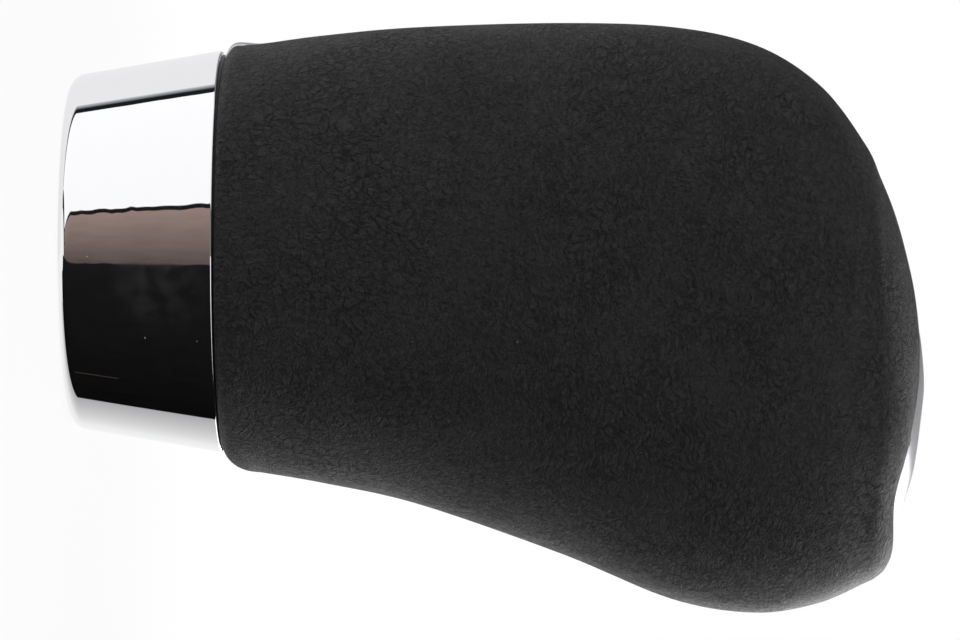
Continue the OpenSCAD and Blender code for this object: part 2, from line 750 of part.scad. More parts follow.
module spring_washer() {
    color("#909396") translate([0, 0, socket_top_z]) difference() {
        cylinder(r = plunger_r - 2 * fit_gap, h = washer_t);
        translate([0, 0, -bite]) cylinder(r = plunger_shaft_r + 2 * run_gap, h = washer_t + 2 * bite);
    }
}

module return_spring() {
    sides = 6;
    per_turn = 14;
    steps = floor(spring_turns * per_turn);
    rise = spring_len - 2 * wire_r - 2 * fit_gap;
    lean = atan2(rise / spring_turns, 2 * PI * spring_r);
    ring = function(i) let (
        a = 360 * i / per_turn,
        out = [cos(a), sin(a), 0],
        up = [sin(a) * sin(lean), -cos(a) * sin(lean), cos(lean)],
        mid = out * spring_r + [0, 0, wire_r + fit_gap + rise * i / steps]
    ) [for (j = [0 : sides - 1]) mid + (out * cos(j * 360 / sides) + up * sin(j * 360 / sides)) * wire_r];
    points = [for (i = [0 : steps]) for (p = ring(i)) p];
    last = steps * sides;
    color("#85888c") translate([0, 0, washer_top_z]) polyhedron(
        points = points,
        faces = concat(
            [for (j = [1 : sides - 2]) [0, j, j + 1]],
            [for (j = [1 : sides - 2]) [last, last + j + 1, last + j]],
            flipped(band_faces(steps + 1, sides, 0))
        )
    );
}

leather_cover();
core_left();
core_right();
core_screws();
spine_strip();
strip_push_nuts();
chrome_collar();
collar_carrier();
hem_ring();
lever_socket();
retaining_ring();
lock_screws();
button_bezel();
button_cap();
button_slider();
button_pin();
button_bumper();
plunger();
push_pin();
plunger_bush();
return_spring();
spring_washer();
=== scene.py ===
"""Dresses the leather-wrapped selector knob: grained leather, satin spine strip, chrome collar."""
import math

import bmesh
import bpy
from mathutils import Matrix, Vector, noise


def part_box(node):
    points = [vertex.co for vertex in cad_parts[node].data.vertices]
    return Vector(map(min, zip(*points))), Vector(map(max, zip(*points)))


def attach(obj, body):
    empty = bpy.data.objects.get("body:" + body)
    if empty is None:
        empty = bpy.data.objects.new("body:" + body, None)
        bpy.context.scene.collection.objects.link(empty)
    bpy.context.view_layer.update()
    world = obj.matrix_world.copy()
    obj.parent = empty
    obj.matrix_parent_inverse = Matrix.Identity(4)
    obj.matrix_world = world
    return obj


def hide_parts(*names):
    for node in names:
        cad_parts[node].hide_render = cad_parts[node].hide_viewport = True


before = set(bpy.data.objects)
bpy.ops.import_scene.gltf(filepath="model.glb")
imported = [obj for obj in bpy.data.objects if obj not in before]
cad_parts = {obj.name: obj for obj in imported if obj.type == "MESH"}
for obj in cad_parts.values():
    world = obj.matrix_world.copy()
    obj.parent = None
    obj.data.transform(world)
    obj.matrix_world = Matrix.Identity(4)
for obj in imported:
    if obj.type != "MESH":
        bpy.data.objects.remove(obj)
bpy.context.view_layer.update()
MM = 0.001

# Camera: a long lens square to the knob's right side, rolled a quarter turn, so that the lever's
# axis runs from left to right and the toe points down, as in the photograph.
PHOTO_PIXELS = 960
MM_PER_PIXEL = 0.105
CAMERA_DISTANCE = 470 * MM
SENSOR = 36.0
aim = Vector((7.19, 0, 42.77)) * MM
camera_data = bpy.data.cameras.new("camera")
camera_data.sensor_width = SENSOR
camera_data.lens = SENSOR * CAMERA_DISTANCE / (PHOTO_PIXELS * MM_PER_PIXEL * MM)
camera_data.clip_start = 0.01
camera = bpy.data.objects.new("camera", camera_data)
bpy.context.collection.objects.link(camera)
roll = Matrix(((0, -1, 0), (0, 0, -1), (1, 0, 0)))
camera.matrix_world = Matrix.Translation(aim - Vector((0, CAMERA_DISTANCE, 0))) @ roll.to_4x4()
bpy.context.scene.camera = camera
bpy.context.scene.view_settings.view_transform = "Standard"

# Studio: a white sweep all round, a large soft light on the back side, a black screen towards the
# toe and a brownish wall behind the camera, which the chrome collar shows as bands. A light over
# the toe, a bright table edge and a grey ceiling shade the leather.
world = bpy.data.worlds.new("white_sweep")
bpy.context.scene.world = world
world.use_nodes = True
world_nodes = world.node_tree.nodes
world_links = world.node_tree.links
sweep_light = world_nodes["Background"]
sweep_light.inputs["Color"].default_value = (1, 1, 1, 1)
sweep_light.inputs["Strength"].default_value = 0.7
sweep_seen = world_nodes.new("ShaderNodeBackground")
sweep_seen.inputs["Color"].default_value = (1, 1, 1, 1)
sweep_seen.inputs["Strength"].default_value = 1.0
sweep_ray = world_nodes.new("ShaderNodeLightPath")
seen_directly = world_nodes.new("ShaderNodeMath")
seen_directly.operation = "MAXIMUM"
seen_at_all = world_nodes.new("ShaderNodeMath")
seen_at_all.operation = "MAXIMUM"
pick_seen = world_nodes.new("ShaderNodeMixShader")
world_links.new(sweep_ray.outputs["Is Camera Ray"], seen_directly.inputs[0])
world_links.new(sweep_ray.outputs["Is Glossy Ray"], seen_directly.inputs[1])
world_links.new(seen_directly.outputs[0], seen_at_all.inputs[0])
world_links.new(sweep_ray.outputs["Is Transmission Ray"], seen_at_all.inputs[1])
world_links.new(seen_at_all.outputs[0], pick_seen.inputs["Fac"])
world_links.new(sweep_light.outputs[0], pick_seen.inputs[1])
world_links.new(sweep_seen.outputs[0], pick_seen.inputs[2])
world_links.new(pick_seen.outputs[0], world_nodes["World Output"].inputs["Surface"])


def add(material, kind, inputs, **settings):
    """Adds a shader node, with sockets given as values or as other nodes' outputs."""
    made = material.node_tree.nodes.new("ShaderNode" + kind)
    for name, value in settings.items():
        setattr(made, name, value)
    for name, value in inputs.items():
        if isinstance(value, bpy.types.NodeSocket):
            material.node_tree.links.new(value, made.inputs[name])
        else:
            made.inputs[name].default_value = value
    return made.outputs


def empty_material(name):
    material = bpy.data.materials.new(name)
    material.use_nodes = True
    material.node_tree.nodes.clear()
    return material


def millimetres(material):
    """Object coordinates in millimetres."""
    place = add(material, "TexCoord", {})["Object"]
    return add(material, "VectorMath", {0: place, "Scale": 1000.0}, operation="SCALE")[0]


def blended(material, share, low, high):
    """A colour between two, given as values or as other nodes' outputs."""
    low = low if isinstance(low, bpy.types.NodeSocket) else (*low, 1)
    high = high if isinstance(high, bpy.types.NodeSocket) else (*high, 1)
    return add(material, "Mix", {0: share, 6: low, 7: high}, data_type="RGBA")[2]


def add_mesh(name, bm, material, smooth=True):
    """Ends a bmesh as a new object with one material."""
    mesh = bpy.data.meshes.new(name)
    bm.to_mesh(mesh)
    bm.free()
    mesh.materials.append(material)
    mesh.polygons.foreach_set("use_smooth", [smooth] * len(mesh.polygons))
    piece = bpy.data.objects.new(name, mesh)
    bpy.context.collection.objects.link(piece)
    return piece


ABOVE_LOW = 0.0
ABOVE_HIGH = 150.0


def glowing(name, start, first, end, second, mottling=0.0, above=None, soft=0.1):
    """A screen's cloth: its light fades from the first colour to the second by angle. Above the
    table it may have another brightness, and it lights matt surfaces at its own, called soft."""
    material = empty_material(name)
    place = add(material, "SeparateXYZ", {0: millimetres(material)})
    across = add(material, "Math", {0: place["X"], 1: -1.0}, operation="MULTIPLY")[0]
    ahead = add(material, "Math", {0: place["Y"], 1: -1.0}, operation="MULTIPLY")[0]
    turn = add(material, "Math", {0: across, 1: ahead}, operation="ARCTAN2")[0]
    share = add(material, "MapRange", {0: turn, 1: math.radians(start), 2: math.radians(end)})[0]
    mottle_place = {"Vector": millimetres(material), "Scale": 0.02, "Detail": 3.0}
    mottle = add(material, "TexNoise", mottle_place)[0]
    share = add(material, "Math", {0: mottle, 1: mottling, 2: share}, operation="MULTIPLY_ADD")[0]
    share = add(material, "Math", {0: share, 1: mottling / 2}, operation="SUBTRACT")[0]
    colour = blended(material, share, first, second)
    if above is not None:
        risen = add(material, "MapRange", {0: place["Z"], 1: ABOVE_LOW, 2: ABOVE_HIGH})[0]
        colour = blended(material, risen, colour, (above, above, above))
    matt_ray = add(material, "LightPath", {})["Is Diffuse Ray"]
    colour = blended(material, matt_ray, colour, (soft, soft, soft))
    glow = add(material, "Emission", {"Color": colour, "Strength": 1.0})[0]
    add(material, "OutputMaterial", {"Surface": glow})
    return material


SCREEN_STEP = 6
RAGGED_CUTS = 400
RAGGED_COARSE = 38
RAGGED_FINE = 110


def screen(name, radius, start, end, low, high, material, ragged=0.0):
    """A curved screen round the knob between two angles, 0 at the camera and 90 at the back. A
    ragged one has its upright edges swayed by about so many degrees."""
    bm = bmesh.new()
    first = math.radians(start)
    foot = bm.verts.new((-radius * math.sin(first), -radius * math.cos(first), low))
    head = bm.verts.new((foot.co.x, foot.co.y, high))
    edge = bm.edges.new((foot, head))
    bmesh.ops.subdivide_edges(bm, edges=[edge], cuts=1 if ragged == 0 else RAGGED_CUTS)
    line = list(bm.verts) + list(bm.edges)
    bmesh.ops.spin(
        bm, geom=line, cent=(0, 0, 0), axis=(0, 0, -1), angle=math.radians(end - start),
        steps=max(2, round(abs(end - start) / SCREEN_STEP)), use_duplicate=False,
    )
    for vert in bm.verts:
        if ragged:
            sway = noise.noise(Vector((0, 0, vert.co.z * RAGGED_COARSE)))
            sway += 0.6 * noise.noise(Vector((4, 0, vert.co.z * RAGGED_FINE)))
            turned_by = Matrix.Rotation(math.radians(ragged) * sway, 3, "Z")
            bmesh.ops.rotate(bm, verts=[vert], cent=(0, 0, 0), matrix=turned_by)
    piece = add_mesh(name, bm, material, smooth=False)
    piece.visible_camera = False


SCREEN_R = 0.8
EDGE_SCREEN_R = 0.79
ROOM_LOW = -2.6
ROOM_HIGH = 0.9
FRAME_Z = -2.05
SCREENS = (
    ("sweep_side", 106, 180, ROOM_LOW, (0.93, 0.93, 0.94), (0.88, 0.88, 0.89), 0.0, 0.2, 0.3),
    ("soft_light", 26, 104, FRAME_Z, (1.09, 1.09, 1.11), (1.14, 1.14, 1.14), 0.1, 0.95, 1.4),
    ("room_wall", -9, 26, FRAME_Z, (0.10, 0.076, 0.07), (0.34, 0.25, 0.22), 0.3, 0.2, 0.3),
    ("black_screen", -112, -9, -7.0, (0.003, 0.003, 0.003), (0.010, 0.0095, 0.0095), 0.4, None, 0.03),
    ("shaded_table", -150, -112, ROOM_LOW, (0.93, 0.93, 0.93), (0.46, 0.46, 0.465), 0.05, 2.3, 0.45),
    ("bright_table", -164, -150, ROOM_LOW, (0.95, 0.95, 0.95), (0.93, 0.93, 0.93), 0.0, 8.5, 3.8),
    ("far_table", -180, -164, ROOM_LOW, (0.96, 0.96, 0.96), (0.95, 0.95, 0.95), 0.0, 0.6, 0.8),
)
for name, start, end, low, first, second, mottling, above, soft in SCREENS:
    cloth = glowing(name + "_cloth", start, first, end, second, mottling, above, soft)
    screen(name, SCREEN_R, start, end, low, ROOM_HIGH, cloth)
dark_edge = glowing("dark_edge_cloth", 0, (0.01, 0.01, 0.012), 90, (0.012, 0.012, 0.014))
grey_edge = glowing(
    "grey_edge_cloth", 105.6, (0.03, 0.032, 0.035), 109.5, (0.62, 0.63, 0.66), soft=0.5
)
brown_edge = glowing("brown_edge_cloth", -90, (0.05, 0.035, 0.03), 0, (0.05, 0.035, 0.03))
toe_cloth = glowing("toe_light_cloth", -112, (2.6, 2.6, 2.62), -4, (1.5, 1.5, 1.5), soft=0.9)
EDGE_SCREENS = (
    ("light_edge", 23.6, 26.2, ROOM_LOW, ROOM_HIGH, dark_edge, 1.4),
    ("light_frame", 101.8, 105.8, ROOM_LOW, ROOM_HIGH, dark_edge, 0.3),
    ("frame_shade", 105.6, 109.5, ROOM_LOW, ROOM_HIGH, grey_edge, 0.0),
    ("frame_foot", -9, 104, FRAME_Z - 1.0, FRAME_Z, dark_edge, 0.0),
    ("wall_edge", -12, -8.4, ROOM_LOW, ROOM_HIGH, dark_edge, 0.7),
    ("cloth_hem", -87.8, -87.1, -0.31, -0.238, brown_edge, 0.0),
    ("toe_light", -112, -4, 0.36, ROOM_HIGH, toe_cloth, 0.0),
)
for name, start, end, low, high, cloth, ragged in EDGE_SCREENS:
    screen(name, EDGE_SCREEN_R, start, end, low, high, cloth, ragged)
ceiling_cloth = glowing(
    "ceiling_cloth", 0, (0.32, 0.32, 0.33), 90, (0.36, 0.36, 0.37), mottling=0.3, soft=0.3
)
ceiling_bm = bmesh.new()
bmesh.ops.create_circle(ceiling_bm, cap_ends=True, segments=64, radius=EDGE_SCREEN_R)
bmesh.ops.translate(ceiling_bm, vec=(0, 0, ROOM_HIGH), verts=ceiling_bm.verts)
ceiling = add_mesh("ceiling", ceiling_bm, ceiling_cloth, smooth=False)
ceiling.visible_camera = False

# Table: plain white, lit evenly to white away from the knob and keeping its soft shadow close by.
# It lies a hair below the collar's base, so that the two faces don't meet.
TABLE_HALF = 1.6
TABLE_DROP = 0.15
SHADOW_NEAR = 70.0
SHADOW_FAR = 190.0
table_bm = bmesh.new()
bmesh.ops.create_grid(table_bm, x_segments=1, y_segments=1, size=TABLE_HALF)
bmesh.ops.translate(table_bm, vec=(0, 0, -TABLE_DROP * MM), verts=table_bm.verts)
table_paint = empty_material("table_paint")
away = add(table_paint, "VectorMath", {0: millimetres(table_paint)}, operation="LENGTH")["Value"]
evened = add(table_paint, "MapRange", {0: away, 1: SHADOW_NEAR, 2: SHADOW_FAR, 3: 0.93, 4: 1.0})[0]
table_ray = add(table_paint, "LightPath", {})
evened = add(table_paint, "Math", {0: evened, 1: table_ray["Is Camera Ray"]}, operation="MULTIPLY")[0]
matt = add(table_paint, "BsdfDiffuse", {"Color": (0.92, 0.92, 0.92, 1)})[0]
even_white = add(table_paint, "Emission", {"Strength": 1.0})[0]
table_face = add(table_paint, "MixShader", {0: evened, 1: matt, 2: even_white})[0]
add(table_paint, "OutputMaterial", {"Surface": table_face})
table = add_mesh("table", table_bm, table_paint, smooth=False)
table.visible_glossy = False

# Grip form: the padded body is a stack of egg-shaped rings that leans out into the toe. Each row
# gives the ring's height, back, toe and side as shares, how square it is at the back and at the
# toe, and how much wider it is at the back. The crown's rows stand close, to keep it even.
GRIP_BASE = 16.2
GRIP_TOP = 88.95
TOE_REACH = 37.85
BACK_REACH = 24.0
SIDE_REACH = 22.0
EDGE_ROLL = 3.5
EDGE_DROP = 3.79
EDGE_SQUARE = 0.65
ROLL_END = math.radians(80)
LEATHER_T = 1.2
LOW_RING = (GRIP_BASE + EDGE_ROLL, -22.0, 23.15, 21.9, 0.95, 1.0, 0.0)
RING_SHARES = (
    (0.14, -0.953, 0.642, 0.985, 0.9, 1.0, 0.01),
    (0.276, -0.983, 0.7, 0.984, 0.8, 1.0, 0.02),
    (0.483, -1.0, 0.838, 0.991, 0.75, 0.95, 0.05),
    (0.642, -0.978, 0.963, 1.0, 0.7, 0.9, 0.08),
    (0.76, -0.898, 1.0, 0.995, 0.7, 0.85, 0.1),
    (0.849, -0.728, 0.975, 0.941, 0.7, 0.85, 0.1),
    (0.912, -0.49, 0.925, 0.836, 0.75, 0.85, 0.1),
    (0.9333, -0.358, 0.906, 0.781, 0.775, 0.875, 0.09),
    (0.9498, -0.25, 0.878, 0.712, 0.8, 0.9, 0.08),
    (0.9622, -0.156, 0.824, 0.645, 0.845, 0.9, 0.055),
    (0.9718, -0.067, 0.7, 0.576, 0.89, 0.925, 0.025),
    (0.979, 0.01, 0.58, 0.509, 0.93, 0.95, 0.01),
    (0.9856, 0.1, 0.507, 0.427, 0.95, 0.965, 0.0),
    (0.9911, 0.196, 0.457, 0.337, 0.965, 0.975, 0.0),
    (0.9952, 0.292, 0.42, 0.248, 0.98, 0.985, 0.0),
    (0.99835, 0.4125, 0.388, 0.1455, 0.99, 0.99, 0.0),
)
POLE_SHARE = 0.354
rings = [LOW_RING]
for share in RING_SHARES:
    height = GRIP_BASE + share[0] * (GRIP_TOP - GRIP_BASE)
    reach = (share[1] * BACK_REACH, share[2] * TOE_REACH, share[3] * SIDE_REACH)
    rings.append((height,) + reach + share[4:])
pole_x = POLE_SHARE * TOE_REACH
last = rings[-1]
rings.append((GRIP_TOP, pole_x, pole_x, 0.0, 1.0, 1.0, 0.0))
rings.append((last[0], last[2], last[1], -last[3], 1.0, 1.0, 0.0))
POLE_U = len(rings) - 2


def ring_at(u):
    """The ring at any height along the stack, on a smooth curve through the rows."""
    k = min(int(math.floor(u)), POLE_U - 1)
    t = u - k
    p1, p2, p3 = rings[k], rings[k + 1], rings[k + 2]
    p0 = rings[k - 1] if k > 0 else tuple(2 * a - b for a, b in zip(p1, p2))
    return [
        0.5 * (
            2 * b + (c - a) * t + (2 * a - 5 * b + 4 * c - d) * t * t
            + (3 * b - a - 3 * c + d) * t ** 3
        )
        for a, b, c, d in zip(p0, p1, p2, p3)
    ]


def bent(value, power):
    return math.copysign(abs(value) ** power, value)


def wall_point(u, angle):
    """Where the grip's wall is at height u and an angle, 0 at the back and pi at the toe."""
    height, back, toe, side, back_power, toe_power, egg = ring_at(u)
    back_share = (1 + math.cos(angle)) / 2
    power = back_power * back_share + toe_power * (1 - back_share)
    c = bent(math.cos(angle), power)
    across = side * bent(math.sin(angle), power) * (1 + egg * c)
    return Vector(((back + toe) / 2 - (toe - back) / 2 * c, across, height))


DEGREE = math.radians(1)


def face_point(u, angle):
    """As wall_point, with the turned-in lower edge below u = 0, squarer on the flanks."""
    if u >= 0:
        return wall_point(u, angle)
    run = wall_point(0, angle + DEGREE) - wall_point(0, angle - DEGREE)
    out = Vector((-run.y, run.x, 0)).normalized()
    turn = -u * ROLL_END
    fullness = 1 - EDGE_SQUARE * abs(math.sin(angle)) ** 0.7
    inwards = EDGE_ROLL * (1 - math.cos(turn) ** fullness)
    drop = EDGE_DROP * math.sin(turn) ** fullness
    return wall_point(0, angle) - out * inwards - Vector((0, 0, drop))


def wrapped(columns, rows, height_at):
    """A grid wrapped round the grip and closed at the top; height_at gives its rise over it."""
    bm = bmesh.new()
    bmesh.ops.create_grid(bm, x_segments=columns, y_segments=rows, size=0.5)
    roll_share = 0.08
    step = 0.02
    for vert in bm.verts:
        angle = (vert.co.x + 0.5) * math.tau
        s = vert.co.y + 0.5
        u = s / roll_share - 1 if s < roll_share else (s - roll_share) / (1 - roll_share) * POLE_U
        if u > POLE_U - 0.001:
            point = Vector((pole_x, 0, GRIP_TOP))
            vert.co = (point + Vector((0, 0, height_at(point)))) * MM
            continue
        up = face_point(min(u + step, POLE_U - step), angle) - face_point(u - step, angle)
        run = face_point(u, angle + DEGREE) - face_point(u, angle - DEGREE)
        point = face_point(u, angle)
        vert.co = (point + up.cross(run).normalized() * height_at(point)) * MM
    bmesh.ops.remove_doubles(bm, verts=bm.verts, dist=1e-6)
    bmesh.ops.recalc_face_normals(bm, faces=bm.faces)
    return bm


def clip_faces(bm, faces, planes):
    """Cuts the faces along each plane in turn and returns those behind all of them."""
    for point, out in planes:
        edges = {edge for face in faces for edge in face.edges}
        verts = {vert for face in faces for vert in face.verts}
        cut = bmesh.ops.bisect_plane(
            bm, geom=list(faces) + list(edges) + list(verts), plane_co=point, plane_no=out, dist=2e-6
        )
        kept = {item for item in cut["geom"] if isinstance(item, bmesh.types.BMFace)}
        faces = [face for face in kept if (face.calc_center_median() - point).dot(out) < 0]
    return faces


# Leather cover: one skin of grained black leather stretched over the core, turned in at the
# lower edge, tucked down into the channel of the spine strip and in round the button.
STRIP_LOW_W = 5.0
STRIP_TOP_W = 8.0
STRIP_FULL_Z = 76.0
STRIP_TIP_X = 28.0
STRIP_BACK_X = -8.0
STRIP_OVERLAP = 3.0
TIP_STEPS = 16
TUCK_R = 0.3
LEATHER_SKIN = 0.25
BUTTON_Z = 66.0
BUTTON_LEN = 18.0
BUTTON_H = 10.0
BEZEL_GROW = 2.45


def strip_faces(bm, inset):
    """The faces of a wrapped grid that lie under the strip's outline, cut along that outline."""
    low = STRIP_LOW_W - inset
    top = STRIP_TOP_W - inset
    lean = math.atan2(top - low, STRIP_FULL_Z - GRIP_BASE)
    back = [
        face for face in bm.faces
        if face.calc_center_median().x < STRIP_BACK_X * MM
        and face.calc_center_median().z < (STRIP_FULL_Z + STRIP_OVERLAP) * MM
    ]
    planes = [(Vector((0, 0, STRIP_FULL_Z)) * MM, Vector((0, 0, 1)))]
    for side in (-1, 1):
        out = Vector((0, side * math.cos(lean), -math.sin(lean)))
        planes.append((Vector((0, side * low, GRIP_BASE)) * MM, out))
    found = clip_faces(bm, back, planes)
    upper = [
        face for face in bm.faces
        if face not in found
        and face.calc_center_median().z > (STRIP_FULL_Z - STRIP_OVERLAP) * MM
    ]
    tip_x = STRIP_TIP_X - STRIP_TOP_W
    planes = [(Vector((0, 0, STRIP_FULL_Z)) * MM, Vector((0, 0, -1)))]
    for side in (-1, 1):
        planes.append((Vector((0, side * top, 0)) * MM, Vector((0, side, 0))))
    for step in range(TIP_STEPS):
        turn = math.pi * ((step + 0.5) / TIP_STEPS - 0.5)
        out = Vector((math.cos(turn), math.sin(turn), 0))
        planes.append(((Vector((tip_x, 0, 0)) + out * top) * MM, out))
    return found + clip_faces(bm, upper, planes)


def bar_faces(bm, faces, grow):
    """Those of the faces that lie inside the button's outline, grown by a margin."""
    r = (BUTTON_H / 2 + grow) * MM
    half = (BUTTON_LEN - BUTTON_H) / 2 * MM
    centre = Vector((0, 0, BUTTON_Z)) * MM
    planes = []
    for side in (-1, 1):
        planes.append((centre + Vector((0, 0, side * r)), Vector((0, 0, side))))
        for step in range(TIP_STEPS):
            turn = math.pi * ((step + 0.5) / TIP_STEPS - 0.5)
            out = Vector((side * math.cos(turn), 0, math.sin(turn)))
            planes.append((centre + Vector((side * half, 0, 0)) + out * r, out))
    return clip_faces(bm, faces, planes)


def tuck_edge(bm, edges, towards, radius, depth, steps=5, out=None):
    """Rolls open edges over and down: towards(co) points across the edge, into the gap. The wall
    below goes straight against out where that is given."""
    starts = {}
    bm.normal_update()
    for vert in {vert for edge in edges for vert in edge.verts}:
        lean = towards(vert.co)
        normal = vert.normal.copy()
        across = (lean - normal * lean.dot(normal)).normalized()
        starts[vert] = (vert.co.copy(), across, normal)
    for step in range(steps + 1):
        made = bmesh.ops.extrude_edge_only(bm, edges=edges)["geom"]
        edges = [item for item in made if isinstance(item, bmesh.types.BMEdge)]
        pairs = {}
        for vert in {vert for edge in edges for vert in edge.verts}:
            for edge in vert.link_edges:
                other = edge.other_vert(vert)
                if other in starts:
                    pairs[vert] = starts[other]
        for vert, (start, across, normal) in pairs.items():
            if step < steps:
                turn = math.radians(90) * (step + 1) / steps
                sunk = normal * radius * (1 - math.cos(turn))
                vert.co = start + across * radius * math.sin(turn) - sunk
            else:
                vert.co = start + across * radius - (normal if out is None else out) * depth
        starts = pairs
        edges = [
            edge for edge in edges
            if edge.is_boundary and all(vert in pairs for vert in edge.verts)
        ]


def towards_strip(co):
    """Across the strip's edge to its middle."""
    tip_x = (STRIP_TIP_X - STRIP_TOP_W) * MM
    if co.x > tip_x:
        return Vector((tip_x - co.x, -co.y, 0)).normalized()
    return Vector((0, -1 if co.y > 0 else 1, 0))


def towards_button(co):
    """In the outline's plane, to the button's middle line."""
    half = (BUTTON_LEN - BUTTON_H) / 2 * MM
    return Vector((min(max(co.x, -half), half) - co.x, 0, BUTTON_Z * MM - co.z)).normalized()


DIP_DEPTH = 1.1
DIP_X = 26
DIP_Z = 87
DIP_SPREAD = (5, 17, 7)


def hollow(point):
    """The leather dips round the strip's tip, where it is drawn down behind the toe."""
    along = (point.x - DIP_X) / DIP_SPREAD[0]
    across = point.y / DIP_SPREAD[1]
    up = (point.z - DIP_Z) / DIP_SPREAD[2]
    return -DIP_DEPTH * math.exp(-along ** 2 - across ** 4 - up ** 4)


GRID_COLUMNS = 176
GRID_ROWS = 172
PATCH_X = 16
PATCH_Y = 10
PATCH_Z = 12
HOLE_Y = 9.5
HOLE_RISE = 20
HEM_RISE = 0.2
leather_bm = wrapped(GRID_COLUMNS, GRID_ROWS, hollow)
doomed = strip_faces(leather_bm, -TUCK_R)
bmesh.ops.delete(leather_bm, geom=doomed, context="FACES")
near_button = [
    face for face in leather_bm.faces
    if face.calc_center_median().y > PATCH_Y * MM
    and abs(face.calc_center_median().x) < PATCH_X * MM
    and abs(face.calc_center_median().z - BUTTON_Z * MM) < PATCH_Z * MM
]
doomed = bar_faces(leather_bm, near_button, BEZEL_GROW + TUCK_R)
bmesh.ops.delete(leather_bm, geom=doomed, context="FACES")
open_edges = [edge for edge in leather_bm.edges if edge.is_boundary]
hole_edges = [
    edge for edge in open_edges
    if min(vert.co.y for vert in edge.verts) > HOLE_Y * MM
    and min(vert.co.z for vert in edge.verts) > (GRIP_BASE + HOLE_RISE) * MM
]
strip_edges = [
    edge for edge in open_edges
    if edge not in hole_edges
    and max(vert.co.z for vert in edge.verts) > (GRIP_BASE + HEM_RISE) * MM
]
tuck_edge(leather_bm, strip_edges, towards_strip, TUCK_R * MM, LEATHER_T * MM)
tuck_edge(leather_bm, hole_edges, towards_button, TUCK_R * MM, LEATHER_T * MM)
bmesh.ops.recalc_face_normals(leather_bm, faces=leather_bm.faces)
bmesh.ops.solidify(leather_bm, geom=list(leather_bm.faces), thickness=LEATHER_SKIN * MM)

leather = empty_material("black_grained_leather")
leather_mm = millimetres(leather)
height = add(leather, "SeparateXYZ", {0: leather_mm})[2]
sway = add(leather, "TexNoise", {"Vector": leather_mm, "Scale": 0.35, "Detail": 3.0})["Color"]
swayed = add(
    leather, "VectorMath", {0: sway, 1: (3.2, 3.2, 3.2), 2: leather_mm}, operation="MULTIPLY_ADD"
)[0]
fine_sway = add(leather, "TexNoise", {"Vector": leather_mm, "Scale": 2.0, "Detail": 3.0})["Color"]
swayed = add(
    leather, "VectorMath", {0: fine_sway, 1: (0.6, 0.6, 0.6), 2: swayed}, operation="MULTIPLY_ADD"
)[0]
rising = add(leather, "MapRange", {0: height, 1: 34.0, 2: 52.0}, interpolation_type="SMOOTHSTEP")[0]
falling = add(
    leather, "MapRange", {0: height, 1: 74.0, 2: 84.0, 3: 1.0, 4: 0.0}, interpolation_type="SMOOTHSTEP"
)[0]
stretched = add(leather, "Math", {0: rising, 1: falling}, operation="MULTIPLY")[0]


def creases(squash, scale, width):
    """Lines between grain cells squashed along the lever's axis, 1 in the middle of a line."""
    place = add(leather, "VectorMath", {0: swayed, 1: squash}, operation="MULTIPLY")[0]
    cells = add(
        leather, "TexVoronoi", {"Vector": place, "Scale": scale}, feature="DISTANCE_TO_EDGE"
    )[0]
    fall = {0: cells, 1: 0.0, 2: width, 3: 1.0, 4: 0.0}
    return add(leather, "MapRange", fall, interpolation_type="SMOOTHSTEP")[0]


round_lines = creases((1.0, 1.0, 0.8), 1.05, 0.2)
drawn_lines = creases((0.55, 0.7, 1.7), 1.0, 0.24)
lines = add(leather, "Mix", {0: stretched, 2: round_lines, 3: drawn_lines})[0]
patchy = add(leather, "TexNoise", {"Vector": leather_mm, "Scale": 0.13, "Detail": 2.0})[0]
patchy = add(leather, "MapRange", {0: patchy, 1: 0.38, 2: 0.62, 3: 0.45, 4: 1.0})[0]
lines = add(leather, "Math", {0: lines, 1: patchy}, operation="MULTIPLY")[0]
pebbles = creases((1.0, 1.0, 1.25), 2.7, 0.34)
pores = {"Vector": leather_mm, "Scale": 3.8, "Detail": 3.0, "Roughness": 0.65}
pores = add(leather, "TexNoise", pores)[0]
slack = add(leather, "TexNoise", {"Vector": swayed, "Scale": 0.7, "Detail": 3.0})[0]
lumps = add(leather, "TexNoise", {"Vector": swayed, "Scale": 1.9, "Detail": 2.5, "Roughness": 0.6})[0]
grain = add(leather, "Math", {0: lines, 1: -0.62, 2: slack}, operation="MULTIPLY_ADD")[0]
grain = add(leather, "Math", {0: pebbles, 1: -0.36, 2: grain}, operation="MULTIPLY_ADD")[0]
grain = add(leather, "Math", {0: lumps, 1: 1.3, 2: grain}, operation="MULTIPLY_ADD")[0]
grain = add(leather, "Math", {0: pores, 1: 1.1, 2: grain}, operation="MULTIPLY_ADD")[0]
grain_bump = add(leather, "Bump", {"Strength": 1.0, "Distance": 0.17 * MM, "Height": grain})[0]
cloud = add(leather, "TexNoise", {"Vector": leather_mm, "Scale": 0.11, "Detail": 3.0})[0]
cloud = add(leather, "MapRange", {0: cloud, 1: 0.35, 2: 0.65})[0]
dye_and_crease_shade = blended(leather, cloud, (0.0142, 0.0124, 0.0122), (0.0138, 0.0122, 0.0143))
# Painted shade: the leather's colour is darkened along the crease lines, standing in for the shade that
# falls in the creases.
dye_and_crease_shade = blended(leather, lines, dye_and_crease_shade, (0.0098, 0.0088, 0.0093))
